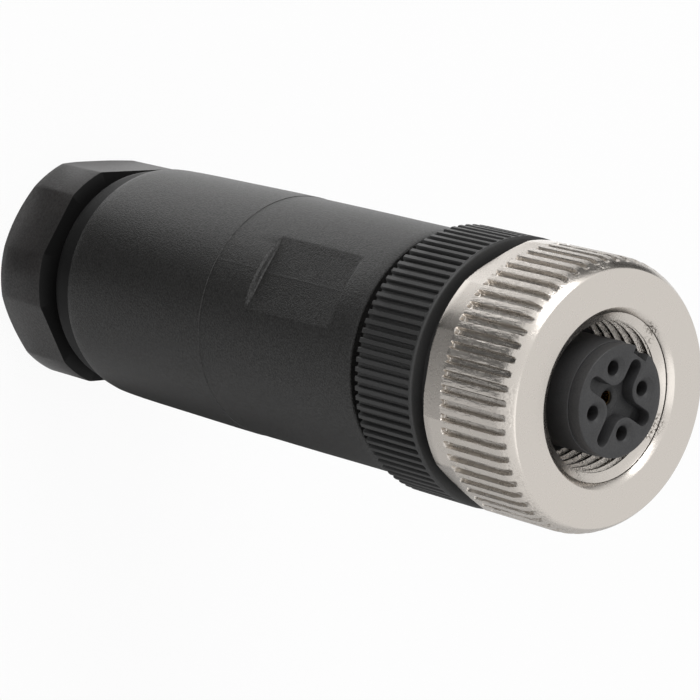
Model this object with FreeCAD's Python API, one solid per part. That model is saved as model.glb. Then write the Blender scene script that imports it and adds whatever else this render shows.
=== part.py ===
import FreeCAD, Part
import math
import os

# Straight female circular connector with five contacts, to be wired by hand.
# It stands on its gland nut. The axis is Z, the mating face of the coupling nut is at z = 0,
# the mate leaves upwards and the cable enters from below.
# Front means towards the mate. All lengths are in millimetres, all angles in degrees.
# Angles about the axis count from +X towards +Y.

# Coupling nut
nut_length = 9.0
nut_radius = 10.05
nut_edge_length = 1.1
nut_edge_height = 0.7
mouth_radius = 6.6
mouth_depth = 0.38
entry_radius = 6.15
entry_step = 0.5
entry_length = 0.9
coupling_thread_radius = 5.46
lip_length = 1.1
nut_groove_count = 60
nut_groove_mouth_width = 0.64
nut_groove_floor_width = 0.4
nut_groove_depth = 0.42
collar_length = 2.1
collar_flat_distance = 9.5
collar_flat_angle = 51.8
collar_chamfer = 0.35

# Insert and its face
nose_proud = 0.95
nose_radius = 4.1
nose_edge = 0.2
contact_circle_radius = 2.5
contact_key_angle = 45.0
outer_contact_count = 4
contact_hole_radius = 0.55
countersink_radius = 0.85
countersink_depth = 0.25
recess_depth = 1.1
recess_arm_width = 1.15
recess_centre_radius = 1.36
recess_reach = 3.5
recess_key_reach = 3.25
boss_radius = 1.2
key_angle = 180.0
key_width = 1.5
key_depth = 0.62
key_length = 5.5

# Neck of the carrier, with the ring that keeps the nut on it
neck_radius = 4.85
neck_start = 6.4
neck_land = 0.5
ring_groove_depth = 0.45
ring_thickness = 0.8
ring_width = 0.9
ring_gap_angle = 24.0

# Grip ring
grip_over_nut = 0.05
grip_length = 6.45
grip_wall = 1.8
grip_groove_count = 88
grip_groove_mouth_width = 0.42
grip_groove_floor_width = 0.24
grip_groove_depth = 0.34
grip_rim_length = 0.55
grip_edge = 0.4
nut_to_grip_gap = 0.42
spline_width = 1.6
spline_height = 0.6
spline_count = 2

# Carrier behind the grip ring
carrier_body_radius = 7.4
spigot_radius = 7.9
spigot_length = 5.6
block_radius = 7.0
block_length = 5.1

# Contacts and their clamps
barrel_radius = 0.9
socket_radius = 0.5
socket_depth = 7.0
slit_width = 0.25
slit_depth = 5.5
contact_cover = 0.25
head_width = 2.4
head_outer_side = 1.6
head_inner_side = 1.0
head_length = 6.4
wire_hole_radius = 0.7
wire_hole_depth = 5.2
shank_radius = 0.6
shank_start = 12.0
screw_radius = 0.85
screw_hole_radius = 0.9
screw_head_radius = 1.3
screw_head_height = 1.1
screw_shank_length = 1.7
screw_slot_width = 0.35
screw_slot_depth = 0.5
screw_from_rear = 1.9
screw_well_radius = 1.42
screw_tip_reach = 0.1

# Wire guide
guide_radius = 6.6
guide_length = 6.4
guide_gap = 0.2
guide_slot_width = 2.4
guide_hub_radius = 2.3

# Seals in the joint between the grip ring and the sleeve, and at the foot of the insert
joint_gap = 0.9
joint_seal_size = 0.7
face_seal_size = 0.8

# Sleeve
sleeve_length = 36.9
sleeve_front_radius = 9.45
mould_line_step = 0.04
sleeve_shoulder_drop = 0.27
sleeve_band_drop = 0.26
sleeve_front_edge = 0.2
mould_line_from_front = 17.7
sleeve_taper_length = 2.6
sleeve_band_length = 2.3
sleeve_band_edge = 0.3
seal_seat_from_front = 20.4
seal_seat_length = 1.0
seal_seat_radius = 5.2
gland_thread_radius = 7.55
wrench_flat_depth = 0.47
wrench_flat_angle = 86.8
wrench_flat_start = 3.15
wrench_flat_length = 9.4
wrench_flat_draft = 1.4
wrench_flat_count = 2

# Cable gland
grommet_length = 6.8
grommet_bore_radius = 3.4
cage_flange_length = 1.2
cage_bore_radius = 4.6
cage_finger_length = 6.0
cage_finger_radius = 5.5
cage_finger_count = 6
cage_slit_width = 0.9
thrust_length = 1.0
thrust_bore_radius = 6.1
gland_gap = 1.2
gland_head_length = 5.8
gland_corner_under_sleeve = 0.03
gland_flat_under_corner = 0.38
gland_flat_angle = 28.8
gland_front_edge = 0.25
gland_rear_edge = 0.6
cable_hole_radius = 4.6

# Clearances
running_clearance = 0.05
seat_clearance = 0.05
soft_clearance = 0.1
face_clearance = 0.1
finger_clearance = 0.2

# Stations along the axis
neck_front = -neck_start
ring_groove_front = neck_front - neck_land
ring_groove_rear = ring_groove_front - ring_thickness - seat_clearance
nut_rear = -nut_length
grip_front = nut_rear - nut_to_grip_gap
grip_rear = grip_front - grip_length
body_front = grip_front - grip_wall
spigot_front = grip_rear
sleeve_front = grip_rear - joint_gap
spigot_rear = spigot_front - spigot_length
block_rear = spigot_rear - block_length
nose_face = nose_proud
recess_floor = nose_face - recess_depth
contact_front = recess_floor - countersink_depth - contact_cover
outer_head_front = block_rear + head_length
guide_front = block_rear - guide_gap
guide_rear = guide_front - guide_length
centre_head_front = guide_rear + head_length - guide_gap
sleeve_rear = sleeve_front - sleeve_length
seal_seat_front = sleeve_front - seal_seat_from_front
seal_seat_rear = seal_seat_front - seal_seat_length
grommet_front = seal_seat_rear - face_clearance
grommet_rear = grommet_front - grommet_length
cage_front = grommet_rear - face_clearance
cage_flange_rear = cage_front - cage_flange_length
cage_rear = cage_flange_rear - cage_finger_length
thrust_front = cage_flange_rear - face_clearance
thrust_rear = thrust_front - thrust_length
gland_spigot_front = thrust_rear - face_clearance
gland_head_front = sleeve_rear - gland_gap
gland_head_rear = gland_head_front - gland_head_length

# Radii that follow from a fit
lip_bore_radius = neck_radius + running_clearance
ring_groove_radius = neck_radius - ring_groove_depth
ring_inner_radius = ring_groove_radius + seat_clearance
ring_outer_radius = ring_inner_radius + ring_width
grip_radius = nut_radius + grip_over_nut
grip_bore_radius = carrier_body_radius + seat_clearance
sleeve_bore_radius = spigot_radius + running_clearance
sleeve_rear_radius = sleeve_front_radius - mould_line_step
sleeve_shoulder_radius = sleeve_rear_radius - sleeve_shoulder_drop
sleeve_band_radius = sleeve_shoulder_radius - sleeve_band_drop
wrench_flat_distance = sleeve_front_radius - wrench_flat_depth
gland_corner_radius = sleeve_rear_radius - gland_corner_under_sleeve
gland_flat_distance = gland_corner_radius - gland_flat_under_corner
soft_outer_radius = gland_thread_radius - soft_clearance
gland_spigot_radius = gland_thread_radius - running_clearance

axis = FreeCAD.Vector(0, 0, 1)
centre = FreeCAD.Vector(0, 0, 0)
overcut = 1.0
hexagon_sides = 6


def point(z, radius, angle=0.0):
    turn = math.radians(angle)
    return FreeCAD.Vector(radius * math.cos(turn), radius * math.sin(turn), z)


def polygon(corners):
    return Part.Face(Part.makePolygon(corners + [corners[0]]))


def turned(outline):
    """A solid of revolution about the axis, from an outline of (z, radius) points."""
    return polygon([point(z, radius) for z, radius in outline]).revolve(centre, axis, 360)


def rod(z_rear, z_front, radius, offset=0.0, angle=0.0):
    """A round bar along the axis, or beside it by an offset at an angle."""
    return Part.makeCylinder(radius, z_front - z_rear, point(z_rear, offset, angle), axis)


def tube(z_rear, z_front, outer_radius, inner_radius):
    return rod(z_rear, z_front, outer_radius).cut(
        rod(z_rear - overcut, z_front + overcut, inner_radius))


def long_bar(z_rear, z_front, angle, section):
    """A bar along the axis, from a section of (height above the axis, across) points."""
    bar = polygon([FreeCAD.Vector(height, across, z_rear) for height, across in section])
    bar = bar.extrude(FreeCAD.Vector(0, 0, z_front - z_rear))
    bar.rotate(centre, axis, angle)
    return bar


def block(z_rear, z_front, angle, width, inner_end, outer_end):
    """A block between two distances from the axis, its width across the angle."""
    side = width / 2
    return long_bar(z_rear, z_front, angle, [(inner_end, -side), (outer_end, -side),
                                             (outer_end, side), (inner_end, side)])


def groove(z_rear, z_front, angle, radius, depth, mouth_width, floor_width):
    """Cutter for a straight groove in a round surface, wider at its mouth than at its floor."""
    floor_side = floor_width / 2
    high_side = mouth_width - floor_side
    return long_bar(z_rear, z_front, angle,
                    [(radius - depth, -floor_side), (radius + depth, -high_side),
                     (radius + depth, high_side), (radius - depth, floor_side)])


def radial_rod(z, angle, radius, inner_end, outer_end):
    """A round bar that points away from the axis."""
    return Part.makeCylinder(radius, outer_end - inner_end, point(z, inner_end, angle),
                             point(0, 1, angle))


def even_angles(first, count):
    return [first + 360.0 * i / count for i in range(count)]


def outer_contact_angles():
    return even_angles(key_angle + contact_key_angle, outer_contact_count)


def coupling_nut():
    """Knurled nut: thread bore in front, a lip behind that rides on the carrier's neck."""
    lip_front = nut_rear + lip_length
    outline = [(0, mouth_radius), (0, nut_radius - nut_edge_height), (-nut_edge_length, nut_radius),
               (nut_rear + collar_chamfer, nut_radius), (nut_rear, nut_radius - collar_chamfer),
               (nut_rear, lip_bore_radius), (lip_front, lip_bore_radius),
               (lip_front, coupling_thread_radius), (-entry_length, coupling_thread_radius),
               (-entry_step, entry_radius), (-mouth_depth, entry_radius)]
    collar_front = nut_rear + collar_length
    cutters = [groove(collar_front, overcut, angle, nut_radius, nut_groove_depth,
                      nut_groove_mouth_width, nut_groove_floor_width)
               for angle in even_angles(0, nut_groove_count)]
    cutters += [block(nut_rear - overcut, collar_front, angle, 2 * nut_radius,
                      collar_flat_distance, nut_radius + overcut)
                for angle in even_angles(collar_flat_angle, hexagon_sides)]
    return turned(outline).cut(cutters)


def retaining_ring():
    """Split ring in the neck's groove, in front of the nut's lip."""
    front = ring_groove_front - seat_clearance / 2
    ring = tube(front - ring_thickness, front, ring_outer_radius, ring_inner_radius)
    opening = 2 * ring_outer_radius * math.sin(math.radians(ring_gap_angle / 2))
    return ring.cut(block(front - ring_thickness - overcut, front + overcut, key_angle + 180,
                          opening, 0, ring_outer_radius + overcut))


def face_seal():
    """Seal ring at the foot of the insert, on the neck's front shoulder."""
    rear = neck_front + seat_clearance
    bore = nose_radius + seat_clearance
    return tube(rear, rear + face_seal_size, bore + face_seal_size, bore)


def joint_seal():
    """Seal ring in the gap between the grip ring and the sleeve."""
    rear = (grip_rear + sleeve_front - joint_seal_size) / 2
    bore = spigot_radius + seat_clearance
    return tube(rear, rear + joint_seal_size, bore + joint_seal_size, bore)


def crossed_recess():
    """Four arms between the contact bosses, with a boss left round each outer contact."""
    top = nose_face + overcut
    end_radius = recess_arm_width / 2
    recess = rod(recess_floor, top, recess_centre_radius)
    for angle in even_angles(key_angle, outer_contact_count):
        reach = recess_key_reach if angle == key_angle else recess_reach
        end_centre = reach - end_radius
        recess = recess.fuse([block(recess_floor, top, angle, recess_arm_width, 0, end_centre),
                              rod(recess_floor, top, end_radius, end_centre, angle)])
    return recess.cut([rod(recess_floor - overcut, top + overcut, boss_radius,
                           contact_circle_radius, angle) for angle in outer_contact_angles()])


def keyway():
    """Groove along the insert for the mate's key."""
    return block(nose_face - key_length, nose_face + overcut, key_angle, key_width,
                 nose_radius - key_depth, nose_radius + overcut)


def pin_hole(mouth, offset=0.0, angle=0.0):
    """Hole for the mate's pin down to the socket, with a countersink at its mouth."""
    return [rod(contact_front - overcut, mouth + overcut, contact_hole_radius, offset, angle),
            Part.makeCone(contact_hole_radius, countersink_radius, countersink_depth,
                          point(mouth - countersink_depth, offset, angle), axis)]


def head_chamber(rear, front, angle, offset):
    """Room for a contact's square head, with its clearance all round."""
    return block(rear, front, angle, head_width + 2 * seat_clearance,
                 offset - head_inner_side - seat_clearance,
                 offset + head_outer_side + seat_clearance)


def outer_chamber(angle):
    """Cutters for one outer contact: pin hole, barrel, head and screw well."""
    rear = block_rear - overcut
    return pin_hole(nose_face, contact_circle_radius, angle) + [
        rod(rear, contact_front + seat_clearance, barrel_radius + seat_clearance,
            contact_circle_radius, angle),
        head_chamber(rear, outer_head_front + seat_clearance, angle, contact_circle_radius),
        radial_rod(block_rear + screw_from_rear, angle, screw_well_radius,
                   contact_circle_radius, block_radius + overcut)]


def carrier_body():
    """The turned form of the carrier: insert, neck, body inside the grip ring, spigot, block."""
    return turned([(nose_face, 0), (nose_face, nose_radius - nose_edge),
                   (nose_face - nose_edge, nose_radius),
                   (neck_front, nose_radius), (neck_front, neck_radius),
                   (ring_groove_front, neck_radius), (ring_groove_front, ring_groove_radius),
                   (ring_groove_rear, ring_groove_radius), (ring_groove_rear, neck_radius),
                   (body_front, neck_radius), (body_front, carrier_body_radius),
                   (spigot_front, carrier_body_radius), (spigot_front, spigot_radius),
                   (spigot_rear, spigot_radius), (spigot_rear, block_radius),
                   (block_rear, block_radius), (block_rear, 0)])


def contact_carrier():
    """One moulding that holds the contacts from their sockets to their screw clamps."""
    splines = [block(spigot_front, body_front, angle, spline_width, neck_radius,
                     carrier_body_radius + spline_height)
               for angle in even_angles(key_angle, spline_count)]
    cutters = [crossed_recess(), keyway()] + pin_hole(recess_floor)
    cutters.append(rod(-shank_start - seat_clearance, contact_front + seat_clearance,
                       barrel_radius + seat_clearance))
    cutters.append(rod(block_rear - overcut, -shank_start, shank_radius + seat_clearance))
    for angle in outer_contact_angles():
        cutters += outer_chamber(angle)
    return carrier_body().fuse(splines).cut(cutters)


def grip_ring():
    """Ring with fine straight grooves, open behind and closed in front, splined to the carrier."""
    wall_rear = body_front + face_clearance
    bore_radius = neck_radius + seat_clearance
    ring = turned([(grip_front, bore_radius), (grip_front, grip_radius - grip_edge),
                   (grip_front - grip_edge, grip_radius), (grip_rear, grip_radius),
                   (grip_rear, grip_bore_radius), (wall_rear, grip_bore_radius),
                   (wall_rear, bore_radius)])
    cutters = [groove(grip_rear - overcut, grip_front - grip_rim_length, angle, grip_radius,
                      grip_groove_depth, grip_groove_mouth_width, grip_groove_floor_width)
               for angle in even_angles(0, grip_groove_count)]
    cutters += [block(grip_rear - overcut, wall_rear, angle, spline_width + 2 * seat_clearance,
                      neck_radius, carrier_body_radius + spline_height + seat_clearance)
                for angle in even_angles(key_angle, spline_count)]
    return ring.cut(cutters)


def contact(angle, head_rear, head_front, barrel_rear):
    """Socket contact on the axis: slit barrel, shank, and a square head for wire and screw."""
    body = block(head_rear, head_front, angle, head_width, -head_inner_side, head_outer_side)
    body = body.fuse(rod(barrel_rear, contact_front, barrel_radius))
    if barrel_rear > head_front:
        body = body.fuse(rod(head_front, barrel_rear, shank_radius))
    return body.cut([rod(contact_front - socket_depth, contact_front + overcut, socket_radius),
                     block(contact_front - slit_depth, contact_front + overcut, angle,
                           slit_width, -2 * barrel_radius, 2 * barrel_radius),
                     rod(head_rear - overcut, head_rear + wire_hole_depth, wire_hole_radius),
                     radial_rod(head_rear + screw_from_rear, angle, screw_hole_radius, 0,
                                head_outer_side + overcut)])


def outer_contact(angle):
    shape = contact(angle, block_rear, outer_head_front, outer_head_front)
    shape.translate(point(0, contact_circle_radius, angle))
    return shape


def centre_contact():
    return contact(key_angle, guide_rear, centre_head_front, -shank_start)


def terminal_screw(z, angle, contact_offset):
    """Slotted clamp screw, its tip over the wire hole of a contact's head."""
    tip = contact_offset + wire_hole_radius - screw_tip_reach
    head = tip + screw_shank_length
    top = head + screw_head_height
    screw = radial_rod(z, angle, screw_radius, tip, head)
    screw = screw.fuse(radial_rod(z, angle, screw_head_radius, head, top))
    return screw.cut(block(z - 2 * screw_head_radius, z + 2 * screw_head_radius, angle,
                           screw_slot_width, top - screw_slot_depth, top + overcut))


def terminal_screws():
    """The five clamp screws: one over each outer contact's head and one in the wire guide."""
    screws = [terminal_screw(block_rear + screw_from_rear, angle, contact_circle_radius)
              for angle in outer_contact_angles()]
    screws.append(terminal_screw(guide_rear + screw_from_rear, key_angle, 0))
    return Part.makeCompound(screws)


def wire_guide():
    """Rear moulding: a hub round the centre contact's head, and slots that part the wires."""
    rear = guide_rear - overcut
    cutters = [head_chamber(rear, centre_head_front + seat_clearance, key_angle, 0),
               rod(rear, guide_front + overcut, shank_radius + seat_clearance),
               radial_rod(guide_rear + screw_from_rear, key_angle, screw_well_radius, 0,
                          guide_radius + overcut)]
    cutters += [block(rear, guide_front + overcut, angle, guide_slot_width, guide_hub_radius,
                      guide_radius + overcut) for angle in outer_contact_angles()]
    return rod(guide_rear, guide_front, guide_radius).cut(cutters)


def sleeve_outline():
    """Outer profile of the sleeve from front to rear, with the mould line's step."""
    mould_line = sleeve_front - mould_line_from_front
    band_front = sleeve_rear + sleeve_band_length
    return [(sleeve_front, sleeve_front_radius - sleeve_front_edge),
            (sleeve_front - sleeve_front_edge, sleeve_front_radius),
            (mould_line, sleeve_front_radius), (mould_line, sleeve_rear_radius),
            (band_front + sleeve_taper_length, sleeve_rear_radius),
            (band_front, sleeve_shoulder_radius), (band_front, sleeve_band_radius),
            (sleeve_rear + sleeve_band_edge, sleeve_band_radius),
            (sleeve_rear, sleeve_band_radius - sleeve_band_edge)]


def wrench_flat(angle):
    """A flat in two halves that meet in a faint ridge at the mould's parting line."""
    rear = sleeve_front - wrench_flat_start - wrench_flat_length
    side = sleeve_front_radius
    low = wrench_flat_distance - side * math.tan(math.radians(wrench_flat_draft))
    high = sleeve_front_radius + overcut
    return long_bar(rear, rear + wrench_flat_length, angle,
                    [(low, -side), (wrench_flat_distance, 0), (low, side),
                     (high, side), (high, -side)])


def housing_sleeve():
    """Moulded sleeve: screwed on the carrier's spigot in front, holding the gland behind."""
    bores = [(sleeve_rear, gland_thread_radius), (seal_seat_rear, gland_thread_radius),
             (seal_seat_rear, seal_seat_radius), (seal_seat_front, seal_seat_radius),
             (seal_seat_front, sleeve_bore_radius), (sleeve_front, sleeve_bore_radius)]
    sleeve = turned(sleeve_outline() + bores)
    return sleeve.cut([wrench_flat(angle)
                       for angle in even_angles(wrench_flat_angle, wrench_flat_count)])


def grommet():
    """Rubber seal that the gland squeezes round the cable."""
    return tube(grommet_rear, grommet_front, soft_outer_radius, grommet_bore_radius)


def clamp_cage():
    """Flange with fingers that the gland nut's cone closes on the cable."""
    cage = turned([(cage_front, cage_bore_radius), (cage_front, soft_outer_radius),
                   (cage_flange_rear, soft_outer_radius), (cage_flange_rear, cage_finger_radius),
                   (cage_rear, cage_finger_radius), (cage_rear, cage_bore_radius)])
    return cage.cut([block(cage_rear - overcut, cage_flange_rear, angle, cage_slit_width, 0,
                           cage_finger_radius + overcut)
                     for angle in even_angles(0, cage_finger_count)])


def thrust_ring():
    """Slip ring, so that the turning gland nut doesn't twist the cage."""
    return tube(thrust_rear, thrust_front, soft_outer_radius, thrust_bore_radius)


def hexagon_bar(z_rear, z_front, flat_distance, first_angle):
    """Six-sided bar along the axis."""
    half_side = 180.0 / hexagon_sides
    corner = flat_distance / math.cos(math.radians(half_side))
    bar = polygon([point(z_rear, corner, angle)
                   for angle in even_angles(first_angle + half_side, hexagon_sides)])
    return bar.extrude(FreeCAD.Vector(0, 0, z_front - z_rear))


def gland_bore():
    """Cutter for the cage's room, the cone that closes its fingers and the hole for the cable."""
    cage_room_radius = cage_finger_radius + finger_clearance
    return turned([(gland_spigot_front + overcut, 0),
                   (gland_spigot_front + overcut, cage_room_radius),
                   (cage_rear - face_clearance, cage_room_radius),
                   (gland_head_front, cable_hole_radius),
                   (gland_head_rear - overcut, cable_hole_radius),
                   (gland_head_rear - overcut, 0)])


def gland_nut():
    """Pressure nut: hexagonal head with turned corners, on a threaded spigot."""
    head = turned([(gland_head_front, 0),
                   (gland_head_front, gland_corner_radius - gland_front_edge),
                   (gland_head_front - gland_front_edge, gland_corner_radius),
                   (gland_head_rear + gland_rear_edge, gland_corner_radius),
                   (gland_head_rear, gland_corner_radius - gland_rear_edge),
                   (gland_head_rear, 0)])
    head = head.common(hexagon_bar(gland_head_rear, gland_head_front, gland_flat_distance,
                                   gland_flat_angle))
    return head.fuse(rod(gland_head_front, gland_spigot_front, gland_spigot_radius)).cut(
        gland_bore())


pieces = {
    "coupling_nut": coupling_nut(),
    "retaining_ring": retaining_ring(),
    "face_seal": face_seal(),
    "contact_carrier": contact_carrier(),
    "grip_ring": grip_ring(),
    "contact_centre": centre_contact(),
    "terminal_screws": terminal_screws(),
    "wire_guide": wire_guide(),
    "joint_seal": joint_seal(),
    "housing_sleeve": housing_sleeve(),
    "grommet": grommet(),
    "clamp_cage": clamp_cage(),
    "thrust_ring": thrust_ring(),
    "gland_nut": gland_nut(),
}
for number, angle in enumerate(outer_contact_angles(), start=1):
    pieces["contact_%d" % number] = outer_contact(angle)

os.makedirs("parts", exist_ok=True)
for name, shape in pieces.items():
    shape.exportStep("parts/%s.step" % name)
    print(name, len(shape.Solids), "solids,", round(shape.Volume, 2), "mm3, valid", shape.isValid())
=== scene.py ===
import bpy
import bmesh
import math
from mathutils import Matrix, Vector


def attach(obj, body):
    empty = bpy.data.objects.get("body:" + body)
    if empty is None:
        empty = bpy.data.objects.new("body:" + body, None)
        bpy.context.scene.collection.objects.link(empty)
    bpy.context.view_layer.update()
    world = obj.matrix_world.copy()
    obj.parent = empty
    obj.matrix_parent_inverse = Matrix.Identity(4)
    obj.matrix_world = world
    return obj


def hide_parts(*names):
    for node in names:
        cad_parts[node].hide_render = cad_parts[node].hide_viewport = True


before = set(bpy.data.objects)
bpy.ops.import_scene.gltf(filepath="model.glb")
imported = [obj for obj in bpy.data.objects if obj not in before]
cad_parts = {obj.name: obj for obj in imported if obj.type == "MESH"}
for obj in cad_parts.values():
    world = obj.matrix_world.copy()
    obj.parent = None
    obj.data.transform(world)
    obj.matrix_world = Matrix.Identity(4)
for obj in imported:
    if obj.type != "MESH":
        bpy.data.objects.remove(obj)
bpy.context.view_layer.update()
mm = 0.001
keyAngle = 180  # the insert's key points to -X, all angles count from +X
contactAngles = [keyAngle + 45 + 90 * i for i in range(4)]
print("frame loaded:", len(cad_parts), "nodes")


def toLinear(hexColour):  # sRGB hex to the linear colour that a shader reads
    parts = [int(hexColour[i:i + 2], 16) / 255 for i in (1, 3, 5)]
    return [p / 12.92 if p <= 0.04045 else ((p + 0.055) / 1.055) ** 2.4 for p in parts] + [1.0]


def addNode(tree, kind, settings=None, links=None):  # one node, its settings, and what feeds its sockets
    node = tree.nodes.new(kind)
    for name, value in (settings or {}).items():
        if isinstance(name, str) and hasattr(node, name) and name not in node.inputs:
            setattr(node, name, value)
        else:
            node.inputs[name].default_value = value
    for name, source in (links or {}).items():
        tree.links.new(source, node.inputs[name])
    return node


def newMaterial(name):
    material = bpy.data.materials.new(name)
    material.use_nodes = True
    tree = material.node_tree
    tree.nodes.clear()
    spot = addNode(tree, "ShaderNodeTexCoord").outputs["Object"]
    return material, tree, spot


def closeMaterial(tree, shader):
    addNode(tree, "ShaderNodeOutputMaterial", links={"Surface": shader.outputs[0]})


def ramp(tree, value, low, high, least=0, most=1):  # least where the value is low, most where it is high
    settings = {"From Min": low, "From Max": high, "To Min": least, "To Max": most}
    return addNode(tree, "ShaderNodeMapRange", settings, {"Value": value}).outputs["Result"]


def product(tree, first, second):
    return addNode(tree, "ShaderNodeMath", {"operation": "MULTIPLY"}, {0: first, 1: second}).outputs[0]


def noise(tree, spot, sizeMm, **settings):
    return addNode(tree, "ShaderNodeTexNoise", {"Scale": 1 / (sizeMm * mm), **settings},
                   {"Vector": spot}).outputs["Fac"]


def blend(tree, share, first, second):  # two colours mixed, each one fixed or from a socket
    ends = {6: first, 7: second}
    fixed = {socket: colour for socket, colour in ends.items() if isinstance(colour, list)}
    linked = {socket: colour for socket, colour in ends.items() if socket not in fixed}
    return addNode(tree, "ShaderNodeMix", {"data_type": "RGBA", **fixed}, {0: share, **linked}).outputs[2]


plasticLooks = {
    # moulded polyamide with a spark-eroded grain: dull black with fine pale specks, which are painted glints
    # of the grain, and a soft sheen at grazing angles; the grain is drawn coarser than life so that it shows
    # at all
    "polyamideGrained": {
        "dark": "#111110", "light": "#181716", "roughness": 0.48, "grainMm": 0.13, "grainDepthMm": 0.05,
        "bump": 1.0, "speckGlints": 0.04, "gloss": 0.5,
    },
    # smooth deep black polyamide, darker than the grained body: the sleeve's rear band, and the gland nut's
    # front face and thread, where the black is painted shade of the gap below the sleeve
    "polyamideBandAndPaintedShade": {
        "dark": "#0d0d0d", "light": "#111111", "roughness": 0.6, "grainMm": 0.2, "grainDepthMm": 0.004,
        "bump": 0.2, "speckGlints": 0.0, "gloss": 0.2,
    },
    # moulded polyamide from a smoother mould: the same black, evenly dull on the ridges
    "polyamideRidged": {
        "dark": "#242424", "light": "#2b2b2b", "roughness": 0.52, "grainMm": 0.13, "grainDepthMm": 0.01,
        "bump": 0.5, "speckGlints": 0.015, "gloss": 0.5,
    },
    # moulded nut with slight flow clouds, smooth matt
    "polyamideClouded": {
        "dark": "#121212", "light": "#272423", "roughness": 0.48, "grainMm": 0.17, "grainDepthMm": 0.03,
        "bump": 0.7, "speckGlints": 0.03, "gloss": 0.46,
    },
    # contact insert, fine matt, a shade paler than the sleeve
    "insertPolyamide": {
        "dark": "#2c2c2d", "light": "#353536", "roughness": 0.55, "grainMm": 0.11, "grainDepthMm": 0.008,
        "bump": 0.5, "speckGlints": 0.02, "gloss": 0.5,
    },
    # clamp cage and slip ring, plain moulded grey-black
    "polyamidePlain": {
        "dark": "#2a2a2a", "light": "#303030", "roughness": 0.5, "grainMm": 0.2, "grainDepthMm": 0.004,
        "bump": 0.2, "speckGlints": 0.01, "gloss": 0.5,
    },
    # nitrile rubber seals: dead matt black
    "nitrileRubber": {
        "dark": "#191919", "light": "#1f1f1f", "roughness": 0.72, "grainMm": 0.15, "grainDepthMm": 0.005,
        "bump": 0.2, "speckGlints": 0.01, "gloss": 0.4,
    },
}
cloudsPerGrain = 12  # the slow change of colour is that much larger than the grain
# the pale speck colour: painted glints of the grain, blended into every plastic's colour
speckGlintColour = "#4a4846"
glossSwing = 8  # how much more the speck glints show in the gloss than in the colour


def plastic(name):
    look = plasticLooks[name]
    material, tree, spot = newMaterial(name)
    cloud = noise(tree, spot, cloudsPerGrain * look["grainMm"], Detail=3.0)
    grain = noise(tree, spot, look["grainMm"], Detail=2.0, Roughness=0.6)
    speckle = ramp(tree, grain, 0.35, 0.65)
    colour = blend(tree, cloud, toLinear(look["dark"]), toLinear(look["light"]))
    # painted glints: the speck colour is blended in where the grain is high
    speckGlints = addNode(tree, "ShaderNodeMath", {"operation": "MULTIPLY", 1: look["speckGlints"]},
                     {0: speckle}).outputs[0]
    speckled = blend(tree, speckGlints, colour, toLinear(speckGlintColour))
    swing = glossSwing * look["speckGlints"]
    gloss = ramp(tree, speckle, 0, 1, least=look["gloss"] * (1 - swing), most=look["gloss"] * (1 + swing))
    bump = addNode(tree, "ShaderNodeBump", {"Strength": look["bump"], "Distance": look["grainDepthMm"] * mm},
                   {"Height": grain})
    links = {"Base Color": speckled, "Specular IOR Level": gloss, "Normal": bump.outputs["Normal"]}
    closeMaterial(tree, addNode(tree, "ShaderNodeBsdfPrincipled", {"Roughness": look["roughness"]}, links))
    return material


metalLooks = {
    # brass, nickel plated: warm pale grey satin with pits of the blank, rolling marks along the knurl
    # and rough speckled patches at its front edges; the darker grooves colour is painted shade in the knurl's
    # hollows
    "nickelPlatedBrass": {
        "colour": "#cbc5be", "dull": 0.32, "bright": 0.22, "pitMm": 0.16, "pitDepthMm": 0.008, "bump": 0.6,
        "speckle": "#6f6963", "grooves": "#b8b3ad", "roughFrom": -1.2, "roughTo": -0.05, "roughDepthMm": 0.06,
        "patchMm": 3.2, "speckMm": 0.2, "bareBelow": 0.5, "outsideShare": 0.15, "mouthRadius": 7.0,
        "streakMm": 0.16, "streakStretch": 0.2, "streakDepthMm": 0.055, "knurlFront": -0.7,
        "knurlRear": -6.95, "crest": 9.93, "hollowShade": 9.7, "face": 9.4, "speckleDulling": 0.3,
        # how far each of these fades out, in mm, or in the noise's own values
        "roughFades": (0.5, 0.2), "patchEdge": (0.5, 0.6), "mouthFade": 0.5, "bareFade": 0.08,
        "knurlFades": (0.5, 0.15), "faceFade": 0.2,
    },
    # spring steel as drawn: plain grey with a dull shine
    "springSteel": {"colour": "#a9a9ab", "dull": 0.35, "bright": 0.25, "pitMm": 0.3, "pitDepthMm": 0.003,
                    "bump": 0.2},
    # gold plated contacts: yellow and bright
    "goldPlating": {"colour": "#c9a765", "dull": 0.28, "bright": 0.2, "pitMm": 0.3, "pitDepthMm": 0.002,
                    "bump": 0.2},
    # zinc plated clamp screws: pale, slightly blue
    "zincPlatedSteel": {"colour": "#b9bdc0", "dull": 0.36, "bright": 0.26, "pitMm": 0.3, "pitDepthMm": 0.003,
                        "bump": 0.2},
}
patchPerPit = 8  # the patches of more and less shine are that much larger than the pits


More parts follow.
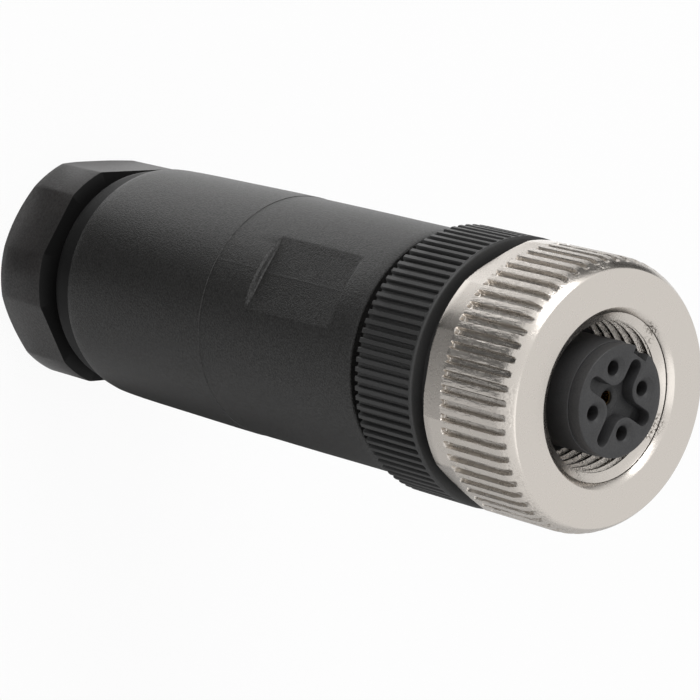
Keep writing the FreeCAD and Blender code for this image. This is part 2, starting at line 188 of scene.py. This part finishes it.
def metal(name):
    look = metalLooks[name]
    material, tree, spot = newMaterial(name)
    patch = noise(tree, spot, patchPerPit * look["pitMm"], Detail=3.0)
    pits = noise(tree, spot, look["pitMm"], Detail=3.0)
    gloss = ramp(tree, patch, 0, 1, least=look["bright"], most=look["dull"])
    bump = addNode(tree, "ShaderNodeBump", {"Strength": look["bump"], "Distance": look["pitDepthMm"] * mm},
                   {"Height": pits}).outputs["Normal"]
    colour = toLinear(look["colour"])
    shader = addNode(tree, "ShaderNodeBsdfPrincipled", {"Base Color": colour, "Metallic": 1.0})
    if "speckle" in look:
        speckled, hollowShade, bump = wornEdgesAndGrooveShade(tree, spot, look, bump)
        # painted shade: the darker grooves colour in the knurl's hollows
        plain = blend(tree, hollowShade, colour, toLinear(look["grooves"]))
        gloss = addNode(tree, "ShaderNodeMath", {"operation": "MULTIPLY_ADD", 1: look["speckleDulling"]},
                        {0: speckled, 2: gloss}).outputs[0]
        tree.links.new(blend(tree, speckled, plain, toLinear(look["speckle"])), shader.inputs["Base Color"])
    tree.links.new(gloss, shader.inputs["Roughness"])
    tree.links.new(bump, shader.inputs["Normal"])
    closeMaterial(tree, shader)
    return material


# speckles in patches near the front edges, streaks along the knurl, and painted shade in the knurl's groove
# hollows
def wornEdgesAndGrooveShade(tree, spot, look, bump):
    height = addNode(tree, "ShaderNodeSeparateXYZ", links={"Vector": spot}).outputs["Z"]
    flatSpot = addNode(tree, "ShaderNodeVectorMath", {"operation": "MULTIPLY", 1: (1, 1, 0)},
                       {0: spot}).outputs["Vector"]
    outFrom = addNode(tree, "ShaderNodeVectorMath", {"operation": "LENGTH"}, {0: flatSpot}).outputs["Value"]
    rearFade, frontFade = look["roughFades"]
    lower = ramp(tree, height, look["roughFrom"] * mm, (look["roughFrom"] + rearFade) * mm)
    upper = ramp(tree, height, look["roughTo"] * mm, (look["roughTo"] - frontFade) * mm)
    patches = ramp(tree, noise(tree, spot, look["patchMm"], Detail=1.0), *look["patchEdge"])
    share = product(tree, product(tree, lower, upper), patches)
    mouth = ramp(tree, outFrom, (look["mouthRadius"] + look["mouthFade"]) * mm, look["mouthRadius"] * mm,
                 least=look["outsideShare"])
    fine = noise(tree, spot, look["speckMm"], Detail=3.0)
    grainy = ramp(tree, fine, look["bareBelow"], look["bareBelow"] - look["bareFade"])
    speckled = product(tree, product(tree, share, grainy), mouth)
    stretched = addNode(tree, "ShaderNodeMapping", {"Scale": (1, 1, look["streakStretch"])},
                        {"Vector": spot}).outputs["Vector"]
    streaks = noise(tree, stretched, look["streakMm"], Detail=3.0)
    frontFade, rearFade = look["knurlFades"]
    ahead = ramp(tree, height, look["knurlFront"] * mm, (look["knurlFront"] - frontFade) * mm)
    behind = ramp(tree, height, look["knurlRear"] * mm, (look["knurlRear"] + rearFade) * mm)
    knurled = product(tree, ahead, behind)
    # painted shade: below the crest radius, within the knurled length and outside the face, the groove
    # hollows get the darker grooves colour
    deep = ramp(tree, outFrom, look["crest"] * mm, look["hollowShade"] * mm)
    outside = ramp(tree, outFrom, look["face"] * mm, (look["face"] + look["faceFade"]) * mm)
    hollowShade = product(tree, knurled, product(tree, deep, outside))
    marked = addNode(tree, "ShaderNodeBump", {"Distance": look["streakDepthMm"] * mm},
                     {"Height": streaks, "Strength": knurled, "Normal": bump}).outputs["Normal"]
    rough = addNode(tree, "ShaderNodeBump", {"Distance": look["roughDepthMm"] * mm},
                    {"Height": fine, "Strength": share, "Normal": marked}).outputs["Normal"]
    return speckled, hollowShade, rough


materials = {name: plastic(name) for name in plasticLooks}
materials.update({name: metal(name) for name in metalLooks})
print("materials made:", len(materials))


# turns a line of (radius, height) points in mm about the axis
def spinOutline(bm, outline, steps, closed=True):
    verts = [bm.verts.new((radius * mm, 0, height * mm)) for radius, height in outline]
    ends = verts[1:] + verts[:1] if closed else verts[1:]
    edges = [bm.edges.new(pair) for pair in zip(verts, ends)]
    bmesh.ops.spin(bm, geom=verts + edges, axis=(0, 0, 1), cent=(0, 0, 0), angle=2 * math.pi, steps=steps,
                   use_merge=True)


# helical turns between two heights, cut square at both ends
def addThread(bm, crest, root, pitch, bottom, top, steps=96):
    turns = math.ceil((top - bottom) / pitch) + 2
    thread = bmesh.new()
    line = [(crest, 0), (crest, pitch / 4), (root, pitch * 0.5625), (root, pitch * 0.6875), (crest, pitch)]
    verts = [thread.verts.new((radius * mm, 0, (bottom - pitch + height) * mm)) for radius, height in line]
    edges = [thread.edges.new(pair) for pair in zip(verts, verts[1:])]
    bmesh.ops.spin(thread, geom=verts + edges, axis=(0, 0, 1), cent=(0, 0, 0),
                   dvec=(0, 0, pitch * mm / steps), angle=2 * math.pi * turns, steps=steps * turns)
    bmesh.ops.remove_doubles(thread, verts=thread.verts, dist=0.002 * mm)
    for height, side in ((bottom, -1), (top, 1)):
        bmesh.ops.bisect_plane(thread, geom=thread.verts[:] + thread.edges[:] + thread.faces[:],
                               plane_co=(0, 0, height * mm), plane_no=(0, 0, side), clear_outer=True)
    joinInto(bm, thread)


def joinInto(bm, other):  # adds another bmesh to this one
    scratch = bpy.data.meshes.new("scratch")
    other.to_mesh(scratch)
    other.free()
    bm.from_mesh(scratch)
    bpy.data.meshes.remove(scratch)


def polar(vert):  # a vertex as radius, angle in degrees from 0 to 360, height, in mm
    angle = math.degrees(math.atan2(vert.co.y, vert.co.x)) % 360
    return math.hypot(vert.co.x, vert.co.y) / mm, angle, vert.co.z / mm


def place(vert, radius, angle):
    vert.co.x = radius * mm * math.cos(math.radians(angle))
    vert.co.y = radius * mm * math.sin(math.radians(angle))


def easeStep(value, low, high):  # 0 below low, 1 above high, smooth between
    share = min(max((value - low) / (high - low), 0), 1)
    return share * share * (3 - 2 * share)


def offAngle(angle, middle, count):  # degrees from the nearest of count even directions
    pitch = 360 / count
    return (angle - middle + pitch / 2) % pitch - pitch / 2


# a finished mesh becomes a piece of the part
def finishPiece(bm, name, material, body, nodes, sharp=32, recalculate=True):
    bmesh.ops.remove_doubles(bm, verts=bm.verts, dist=0.0015 * mm)
    if recalculate:
        bmesh.ops.recalc_face_normals(bm, faces=bm.faces)
    for face in bm.faces:
        face.smooth = True
    for edge in bm.edges:
        edge.smooth = edge.calc_face_angle(0) < math.radians(sharp)
    mesh = bpy.data.meshes.new(name)
    bm.to_mesh(mesh)
    bm.free()
    mesh.materials.append(materials[material])
    piece = bpy.data.objects.new(name, mesh)
    bpy.context.scene.collection.objects.link(piece)
    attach(piece, body)
    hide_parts(*nodes)
    print("piece made:", name, len(mesh.polygons), "faces")
    return piece


nut = {
    "radius": 10.05, "grooves": 60, "grooveDepth": 0.42, "grooveEnd": -6.98, "grooveRound": 0.34,
    "runOut": (-1.5, -0.2),
    "rim": [(10.05, -1.7), (10.03, -1.42), (9.98, -1.18), (9.90, -0.93), (9.80, -0.70), (9.70, -0.50),
            (9.60, -0.33), (9.50, -0.19), (9.43, -0.10), (9.38, -0.04), (9.33, 0)],
    "mouth": [(6.66, 0), (6.61, -0.015), (6.57, -0.05), (6.17, -0.38), (6.15, -0.42), (6.15, -0.5),
              (6.12, -0.53), (5.5, -0.89), (5.48, -0.93), (6.3, -1.3), (6.3, -7.9)],
    # one groove across: mm from its middle, share of its depth
    "section": [(-0.526, 0), (-0.36, 0), (-0.29, 0.05), (-0.26, 0.2), (-0.20, 0.86), (-0.14, 1), (0, 1),
                (0.14, 1), (0.20, 0.86), (0.26, 0.2), (0.29, 0.05), (0.36, 0)],
    "skin": 9, "skinRear": -8.95, "grooveHalf": 0.31, "grooveClimb": 0.16, "collarFront": -6.9,
    "flatDistance": 9.5, "flatAngle": 51.8,
    "thread": (5.46, 6.0, 1.0, -7.85, -0.95),  # crest, root, pitch, bottom, top
}


def rimRadius(height):  # the nut's outside near its front face
    for (low, start), (high, end) in zip(nut["rim"], nut["rim"][1:]):
        if start <= height <= end:
            return low + (high - low) * (height - start) / (end - start)
    return nut["radius"]


def nutRows():  # heights up the outside, close together where the grooves end
    rows = [-8.0, -7.3, -7.05, -7.0, -6.96, -6.94, nut["collarFront"] - 0.02, nut["collarFront"] + 0.02]
    rows += [nut["grooveEnd"] + 0.05 + 0.05 * i for i in range(10)] + [-5.5, -4, -2.7, -2.0]
    rows += [-1.7 + 0.07 * i for i in range(23)]
    return sorted({round(row, 3) for row in rows + [-0.1, -0.04, 0]})


# a groove's depth there: round at the collar, running out to a point at the front
def grooveDepthAt(across, share, height):
    reach = min(abs(across) / nut["grooveHalf"], 1)
    end = nut["grooveEnd"] + nut["grooveRound"] * (1 - math.sqrt(1 - reach * reach))
    start, stop = nut["runOut"]
    climb = min(max((height - start) / (stop - start), 0), 1)
    depth = max(0, share - 1 + math.sqrt(1 - climb * climb)) * nut["grooveDepth"]
    return depth * easeStep(height, end, end + nut["grooveClimb"])


def makeCouplingNut():
    bm = bmesh.new()
    radius = nut["radius"]
    outline = [(4.9, -7.9), (4.9, -8.9), (5.0, -9.0), (9.4, -9.0), (9.6, -8.99)]
    outline += [(9.66 + 0.06 * i, -8.96 + 0.05 * i) for i in range(6)] + [(10.02, -8.66), (radius, -8.58)]
    outline += [(rimRadius(row), row) for row in nutRows()] + nut["mouth"]
    section = nut["section"]
    columns = nut["grooves"] * len(section)
    spinOutline(bm, outline, columns)
    for vert in bm.verts:
        r, angle, height = polar(vert)
        column = round(angle / 360 * columns) % columns
        across, share = section[column % len(section)]
        angle = (column // len(section) + 0.5) * 360 / nut["grooves"] + math.degrees(across / radius)
        if r > nut["skin"] and height > nut["skinRear"]:
            r = min(r, radius - grooveDepthAt(across, share, height))
        if r > nut["skin"] and height < nut["collarFront"]:
            off = math.radians(offAngle(angle, nut["flatAngle"], 6))
            r = min(r, nut["flatDistance"] / math.cos(off))
        place(vert, r, angle)
    addThread(bm, *nut["thread"])
    return finishPiece(bm, "couplingNutKnurled", "nickelPlatedBrass", "coupling_nut",
                       ["coupling_nut"], sharp=28, recalculate=False)


ring = {
    "radius": 10.1, "front": -9.42, "rear": -15.87, "ridges": 88, "grooveDepth": 0.34, "grooveHalf": 0.24,
    "grooveFront": -10.12, "grooveRound": 0.16, "grooveClimb": 0.12, "skin": 9,
    "section": [(-0.3606, 0), (-0.225, 0), (-0.185, 0.2), (-0.125, 0.95), (0, 1), (0.125, 0.95), (0.185, 0.2),
                (0.225, 0)],
}


def makeGripRing():
    bm = bmesh.new()
    radius, front, rear = ring["radius"], ring["front"], ring["rear"]
    outline = [(8.06, rear), (radius - 0.05, rear), (radius, rear + 0.06)]
    outline += [(radius, height) for height in (-14.0, -12.0, -10.6)]
    outline += [(radius, -10.45 + 0.05 * i) for i in range(9)]
    outline += [(radius - 0.03, -9.97), (radius - 0.1, -9.92), (radius - 0.2, -9.89), (9.0, -9.86)]
    outline += [(9.0, front - 0.05), (8.95, front), (4.95, front), (4.95, -11.12), (8.06, -11.12)]
    section = ring["section"]
    columns = ring["ridges"] * len(section)
    spinOutline(bm, outline, columns)
    for vert in bm.verts:
        r, angle, height = polar(vert)
        column = round(angle / 360 * columns) % columns
        across, share = section[column % len(section)]
        angle = (column // len(section) + 0.5) * 360 / ring["ridges"] + math.degrees(across / radius)
        if r > ring["skin"]:
            reach = min(abs(across) / ring["grooveHalf"], 1)
            end = ring["grooveFront"] - ring["grooveRound"] * (1 - math.sqrt(1 - reach * reach))
            cut = 1 - easeStep(height, end - ring["grooveClimb"], end)
            r = min(r, radius - share * ring["grooveDepth"] * cut)
        place(vert, r, angle)
    return finishPiece(bm, "gripRingRidged", "polyamideRidged", "front_end", ["grip_ring"],
                       sharp=40)


sleeve = {
    "columns": 720, "skin": 8.2, "flatAngle": 266.8, "flatDistance": 8.98, "flatDraft": 1.4,
    "flatFront": (-19.9, -20.5), "flatRear": (-29.32, -29.6), "flatReach": 1.2,  # reach in radians
    "partingHeight": 0.013, "partingReach": 0.001, "mouldLine": -34.45, "bandFrom": -51.45,
    "outer": [(8.5, -16.77), (8.58, -16.8), (8.62, -16.9), (8.62, -17.2), (9.26, -17.2), (9.36, -17.25),
              (9.40, -17.38), (9.40, -18.5), (9.41, -19.85), (9.41, -20.0), (9.41, -20.15), (9.41, -20.3),
              (9.41, -20.45), (9.41, -20.6), (9.42, -22.8), (9.45, -27), (9.455, -29.2), (9.455, -29.3),
              (9.455, -29.4), (9.455, -29.5), (9.457, -29.65), (9.46, -32), (9.465, -34.43), (9.50, -34.46),
              (9.50, -36.7), (9.48, -39.2), (9.46, -41.6), (9.44, -44), (9.42, -46.6), (9.39, -48.6),
              (9.35, -50.0), (9.31, -50.7), (9.24, -51.15), (9.14, -51.38), (9.0, -51.46), (8.86, -51.5),
              (8.84, -51.6), (8.84, -52.7), (8.80, -53.1), (8.72, -53.4), (8.6, -53.6), (8.45, -53.67)],
    "inner": [(7.55, -53.67), (7.55, -38.17), (5.2, -38.17), (5.2, -37.17), (7.95, -37.17), (7.95, -16.77)],
}


def flatShare(height):  # 1 on the wrench flats, falling off at their ends
    frontEnd, frontFloor = sleeve["flatFront"]
    rearFloor, rearEnd = sleeve["flatRear"]
    return (1 - easeStep(height, frontFloor, frontEnd)) * easeStep(height, rearEnd, rearFloor)


def makeSleeve():
    bm = bmesh.new()
    spinOutline(bm, sleeve["outer"] + sleeve["inner"], sleeve["columns"])
    step = 360 / sleeve["columns"]
    shift = sleeve["flatAngle"] % step
    draft = math.tan(math.radians(sleeve["flatDraft"]))
    for vert in bm.verts:
        r, angle, height = polar(vert)
        angle = round(angle / step) * step + shift
        off = abs(math.radians(offAngle(angle, sleeve["flatAngle"], 2)))
        if r > sleeve["skin"] and off < sleeve["flatReach"]:
            flat = sleeve["flatDistance"] / (math.cos(off) + math.sin(off) * draft)
            r -= max(0, r - flat) * flatShare(height)
        if r > sleeve["skin"] and off < sleeve["partingReach"] and height > sleeve["mouldLine"]:
            r += sleeve["partingHeight"]
        place(vert, r, angle)
    piece = finishPiece(bm, "housingSleeveGrained", "polyamideGrained", "housing",
                        ["housing_sleeve"], sharp=24)
    piece.data.materials.append(materials["polyamideBandAndPaintedShade"])
    for face in piece.data.polygons:
        if face.center.z < sleeve["bandFrom"] * mm:
            face.material_index = 1
    return piece


gland = {
    "front": -54.87, "rear": -60.67, "flatDistances": [8.62, 8.95, 8.95], "cornerRadius": 9.38,
    "flatAngle": 28.8, "columns": 480, "skin": 8.4, "cornerSoftness": 0.05,
    "thread": (7.5, 7.0, 1.0, -54.0, -47.6),
}


def makeGlandNut():
    bm = bmesh.new()
    corner, front, rear = gland["cornerRadius"], gland["front"], gland["rear"]
    outline = [(5.7, -47.57), (7.0, -47.57), (7.0, front), (8.2, front), (8.3, front), (9.29, front),
               (9.35, front - 0.03), (corner, front - 0.1)]
    outline += [(corner, -57), (corner, -59.4), (corner, rear + 0.66), (corner - 0.02, rear + 0.6)]
    outline += [(corner - 0.05 * i, rear + 0.6 - 0.05 * i) for i in range(1, 12)]
    outline += [(corner - 0.6, rear + 0.02), (corner - 0.66, rear), (4.9, rear), (4.6, rear + 0.3),
                (4.6, front), (5.7, -52.5)]
    spinOutline(bm, outline, gland["columns"])
    for vert in bm.verts:
        r, angle, height = polar(vert)
        if r > gland["skin"] and height < front + 0.1:
            off = math.radians(offAngle(angle, gland["flatAngle"], 6))
            pair = round((angle - gland["flatAngle"]) / 60) % 3
            side = gland["flatDistances"][pair] / math.cos(off)
            soft = gland["cornerSoftness"]  # turned corners melt into the flats
            share = min(max(0.5 + (r - side) / (2 * soft), 0), 1)
            r = side * share + r * (1 - share) - soft * share * (1 - share)
        place(vert, r, angle)
    addThread(bm, *gland["thread"])
    piece = finishPiece(bm, "glandNutMoulded", "polyamideClouded", "gland_nut",
                        ["gland_nut"], sharp=30, recalculate=False)
    piece.data.materials.append(materials["polyamideBandAndPaintedShade"])
    for face in piece.data.polygons:  # the front face and the thread are smooth and deep black: painted shade of the gap below the sleeve
        if face.center.z > (front - 0.05) * mm:
            face.material_index = 1
    return piece


insert = {
    "radius": 4.1, "baseRadius": 4.17, "top": 0.95, "floor": -0.15, "foot": -6.4,
    "keyWidth": 1.5, "keyDepth": 0.62, "keyEnd": -4.55,
    "circle": 2.5, "bossRadius": 1.2, "reach": 3.5, "keyReach": 3.25, "armHalf": 0.568,
    "countersink": 0.86, "hole": 0.55, "countersinkDepth": 0.25, "barrelTop": -0.68, "edge": 0.09,
    "spigotRadii": (7.6, 7.95), "spigotHeights": (-21.5, -15.8), "spigotRoot": 7.38,
    "spigotThread": (7.9, 7.4, 1.0, -21.4, -16.9),
}


def turnedPoints(points, angle):  # flat points turned about the axis
    cosine, sine = math.cos(math.radians(angle)), math.sin(math.radians(angle))
    return [(x * cosine - y * sine, x * sine + y * cosine) for x, y in points]


def circlePoints(x, y, radius, start=0, end=360, steps=48, full=True):
    count = steps if full else steps + 1
    return [(x + radius * math.cos(math.radians(start + (end - start) * i / steps)),
             y + radius * math.sin(math.radians(start + (end - start) * i / steps))) for i in range(count)]


def keyedCircle(radius):  # the insert's outline, with the keyway in it
    half, floor = insert["keyWidth"] / 2, insert["radius"] - insert["keyDepth"]
    start = math.degrees(math.asin(half / radius))
    rim = circlePoints(0, 0, radius, start, 360 - start, 120, full=False)
    return turnedPoints(rim + [(floor, -half), (floor, half)], keyAngle)


def recessOutline():  # four arms with round ends, joined by the round sides of the contact bosses
    points = []
    bossMiddle = insert["circle"] / math.sqrt(2)
    half = insert["armHalf"]
    for quarter in range(4):
        reach = insert["keyReach"] if quarter == 0 else insert["reach"]
        arm = circlePoints(reach - half, 0, half, -90, 90, 14, full=False)
        boss = circlePoints(bossMiddle, bossMiddle, insert["bossRadius"], 270, 180, 18, full=False)
        points += turnedPoints(arm + boss, keyAngle + 90 * quarter)
    return points


# a flat filled outline with holes, its edges slightly rounded
def addPlate(bm, outer, holes, bottom, top, edge):
    curve = bpy.data.curves.new("plate", "CURVE")
    curve.dimensions, curve.fill_mode = "2D", "BOTH"
    curve.extrude = (top - bottom) * mm / 2 - edge * mm
    curve.bevel_depth, curve.bevel_resolution, curve.offset = edge * mm, 2, -edge * mm
    for points in [outer] + [hole[::-1] for hole in holes]:
        spline = curve.splines.new("POLY")
        spline.points.add(len(points) - 1)
        for point, (x, y) in zip(spline.points, points):
            point.co = (x * mm, y * mm, 0, 1)
        spline.use_cyclic_u = True
    holder = bpy.data.objects.new("plate", curve)
    bpy.context.scene.collection.objects.link(holder)
    mesh = bpy.data.meshes.new_from_object(holder.evaluated_get(bpy.context.evaluated_depsgraph_get()))
    mesh.transform(Matrix.Translation((0, 0, (top + bottom) / 2 * mm)))
    bm.from_mesh(mesh)
    bpy.data.objects.remove(holder)
    bpy.data.curves.remove(curve)
    bpy.data.meshes.remove(mesh)


def addFunnel(bm, x, y, top):  # countersink and hole down to the contact
    funnel = bmesh.new()
    mouth, hole, depth = insert["countersink"], insert["hole"], insert["countersinkDepth"]
    line = [(mouth + 0.05, top - 0.03), (mouth, top - 0.04), (hole + 0.04, top - depth),
            (hole, top - depth - 0.05)]
    line += [(hole, insert["barrelTop"]), (hole + 0.4, insert["barrelTop"])]
    spinOutline(funnel, line, 48, closed=False)
    bmesh.ops.translate(funnel, verts=funnel.verts, vec=(x * mm, y * mm, 0))
    bmesh.ops.reverse_faces(funnel, faces=funnel.faces)
    joinInto(bm, funnel)


def turnedCentres():  # the middles of the outer contacts
    return [turnedPoints([(insert["circle"], 0)], angle)[0] for angle in contactAngles]


def makeCarrier():
    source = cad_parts["contact_carrier"].data
    body = bmesh.new()
    body.from_mesh(source)
    bmesh.ops.remove_doubles(body, verts=body.verts, dist=0.002 * mm)
    bmesh.ops.bisect_plane(body, geom=body.verts[:] + body.edges[:] + body.faces[:],
                           plane_co=(0, 0, insert["foot"] * mm - 0.01 * mm),
                           plane_no=(0, 0, 1), clear_outer=True)
    (inner, outer), (rear, front) = insert["spigotRadii"], insert["spigotHeights"]
    for vert in body.verts:  # the spigot goes down to the root of its thread
        r, angle, height = polar(vert)
        if inner < r < outer and rear < height < front:
            place(vert, insert["spigotRoot"], angle)
    bm = bmesh.new()
    joinInto(bm, body)
    addThread(bm, *insert["spigotThread"])
    centres = turnedCentres()
    holes = [circlePoints(x, y, insert["countersink"]) for x, y in centres]
    addPlate(bm, keyedCircle(insert["radius"]), holes + [recessOutline()], insert["floor"] - 0.03,
             insert["top"], insert["edge"])
    centreHole = circlePoints(0, 0, insert["countersink"])
    side, keyEnd, foot = insert["radius"], insert["keyEnd"], insert["foot"]
    addPlate(bm, keyedCircle(insert["baseRadius"]), holes + [centreHole], keyEnd, insert["floor"], 0.03)
    base = [(0.001, keyEnd), (side, keyEnd), (side, foot), (4.86, foot), (4.86, foot - 0.05)]
    spinOutline(bm, base, 120, closed=False)
    for x, y in centres:
        addFunnel(bm, x, y, insert["top"])
    addFunnel(bm, 0, 0, insert["floor"])
    return finishPiece(bm, "contactCarrierInsert", "insertPolyamide", "front_end",
                       ["contact_carrier"], sharp=35, recalculate=False)


makeCouplingNut()
makeGripRing()
makeSleeve()
makeGlandNut()
makeCarrier()

nodeMaterials = {
    "retaining_ring": "springSteel", "terminal_screws": "zincPlatedSteel", "contact_centre": "goldPlating",
    "face_seal": "nitrileRubber", "joint_seal": "nitrileRubber", "grommet": "nitrileRubber",
    "wire_guide": "polyamidePlain", "clamp_cage": "polyamidePlain", "thrust_ring": "polyamidePlain",
    "coupling_nut": "nickelPlatedBrass", "grip_ring": "polyamideRidged", "gland_nut": "polyamideClouded",
    "housing_sleeve": "polyamideGrained", "contact_carrier": "insertPolyamide",
}
nodeMaterials.update({f"contact_{number}": "goldPlating" for number in (1, 2, 3, 4)})
for nodeName, materialName in nodeMaterials.items():
    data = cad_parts[nodeName].data
    data.materials.clear()
    data.materials.append(materials[materialName])
print("CAD nodes dressed:", len(nodeMaterials))


view = {  # the photograph's direction, turned in the picture so that the standing connector lies in it
    "right": Vector((-0.41710, 0.62304, 0.66170)), "up": Vector((-0.89402, -0.41230, -0.17532)),
    "back": Vector((0.16359, -0.66470, 0.72899)), "place": Vector((0.044951, -0.176957, 0.167174)),
    "lens": 180, "azimuth": -76.2,
}
# level, start and end in degrees from the camera's side towards the picture's top, then (radius, height)
# in mm at both edges, as photographers set grey and white cards round a product
cards = {
    "frontCard": (0.06, -16, 37, (10.2, 0.1), (55, 0.1)),
    "frontFarCard": (0.17, -16, 36, (55, 0.1), (400, 0.1)),
    "sideCard": (0.56, -100, -16, (10.2, 0.1), (55, 0.1)),
    "sideFarCard": (0.72, -100, -16, (55, 0.1), (400, 0.1)),
    "mouthCard": (1.6, -75, -10, (400, 300), (250, 620)),
    "lowCard": (0.04, -180, -100, (11, 0.1), (54, 0.1)),
    "lowerCard": (0.6, -180, -100, (54, 0.1), (400, 0.1)),
    "upperCard": (1.55, 52, 178, (10.2, 0.1), (61, 0.1)),
    "rimCard": (0.75, 45, 140, (61, 0.1), (150, 0.1)),
    "farCard": (0.06, 80, 145, (150, 0.1), (420, 0.1)),
    "horizonCard": (0.06, 80, 145, (420, 0.1), (420, 130)),
}
studio = {
    "floorHeight": -0.06067, "floorColour": "#ffffff", "floorClear": 0.93, "worldFill": 0.6,
    "lampPlace": Vector((-0.36, -0.3, 0.2)), "lampSize": 0.3, "lampPower": 1.4,
    "middle": Vector((0, 0, -0.025)),
}


def largerOf(tree, a, b):  # the larger of two light path flags
    return addNode(tree, "ShaderNodeMath", {"operation": "MAXIMUM"}, {0: a, 1: b}).outputs[0]


def seenFlag(tree):  # 1 for what the camera, metal and glass see
    path = addNode(tree, "ShaderNodeLightPath")
    cameraOrGloss = largerOf(tree, path.outputs["Is Camera Ray"], path.outputs["Is Glossy Ray"])
    return largerOf(tree, cameraOrGloss, path.outputs["Is Transmission Ray"])


def makeFloor():
    bm = bmesh.new()
    bmesh.ops.create_grid(bm, x_segments=1, y_segments=1, size=3)
    bmesh.ops.translate(bm, verts=bm.verts, vec=(0, 0, studio["floorHeight"]))
    mesh = bpy.data.meshes.new("floor")
    bm.to_mesh(mesh)
    bm.free()
    floor = bpy.data.objects.new("floor", mesh)
    bpy.context.scene.collection.objects.link(floor)
    # thin white paper: an even ground that keeps the soft shadow and shows what unscrews down through it
    material, tree, _ = newMaterial("paleStudioFloor")
    paper = addNode(tree, "ShaderNodeBsdfDiffuse", {"Color": toLinear(studio["floorColour"])})
    clear = addNode(tree, "ShaderNodeBsdfTransparent", {"Color": toLinear(studio["floorColour"])})
    share = ramp(tree, seenFlag(tree), 0, 1, most=studio["floorClear"])
    links = {0: share, 1: paper.outputs[0], 2: clear.outputs[0]}
    closeMaterial(tree, addNode(tree, "ShaderNodeMixShader", links=links))
    mesh.materials.append(material)


def makeWorld():
    world = bpy.data.worlds.new("studio")
    bpy.context.scene.world = world
    world.use_nodes = True
    tree = world.node_tree
    tree.nodes.clear()
    level = ramp(tree, seenFlag(tree), 0, 1, least=studio["worldFill"])
    sky = addNode(tree, "ShaderNodeBackground", {"Color": toLinear("#ffffff")}, {"Strength": level})
    addNode(tree, "ShaderNodeOutputWorld", links={"Surface": sky.outputs[0]})


def aimAt(thing, target):
    thing.rotation_mode = "QUATERNION"
    thing.rotation_quaternion = (thing.location - target).to_track_quat("Z", "Y")


def addLamp(name, spot, size, power):
    lamp = bpy.data.lights.new(name, "AREA")
    lamp.shape, lamp.size, lamp.energy = "SQUARE", size, power
    holder = bpy.data.objects.new(name, lamp)
    bpy.context.scene.collection.objects.link(holder)
    holder.location = spot
    aimAt(holder, studio["middle"])


def addCard(name, level, start, end, near, far):  # curved card that only shows in gloss
    bm = bmesh.new()
    steps = 24
    rings = []
    for radius, height in (near, far):
        turns = [math.radians(view["azimuth"] - start - (end - start) * i / steps) for i in range(steps + 1)]
        z = studio["floorHeight"] + height * mm
        rings.append([bm.verts.new((radius * mm * math.cos(t), radius * mm * math.sin(t), z)) for t in turns])
    for i in range(steps):
        bm.faces.new((rings[0][i], rings[1][i], rings[1][i + 1], rings[0][i + 1]))
    mesh = bpy.data.meshes.new(name)
    bm.to_mesh(mesh)
    bm.free()
    card = bpy.data.objects.new(name, mesh)
    bpy.context.scene.collection.objects.link(card)
    card.visible_camera = card.visible_shadow = card.visible_diffuse = card.visible_transmission = False
    material, tree, _ = newMaterial(name + "Grey")  # evenly lit card: one plain grey in the reflections
    glow = addNode(tree, "ShaderNodeEmission", {"Color": toLinear("#ffffff"), "Strength": level})
    closeMaterial(tree, glow)
    mesh.materials.append(material)


def makeCamera():
    camera = bpy.data.cameras.new("camera")
    camera.lens, camera.sensor_width, camera.sensor_fit = view["lens"], 36, "HORIZONTAL"
    camera.clip_start, camera.clip_end = 0.01, 10
    holder = bpy.data.objects.new("camera", camera)
    bpy.context.scene.collection.objects.link(holder)
    matrix = Matrix((view["right"], view["up"], view["back"])).transposed().to_4x4()
    matrix.translation = view["place"]
    holder.matrix_world = matrix
    bpy.context.scene.camera = holder


makeFloor()
makeWorld()
addLamp("keyLamp", studio["lampPlace"], studio["lampSize"], studio["lampPower"])
for name, settings in cards.items():
    addCard(name, *settings)
makeCamera()
scene = bpy.context.scene
scene.view_settings.view_transform = "Standard"
print("studio ready")
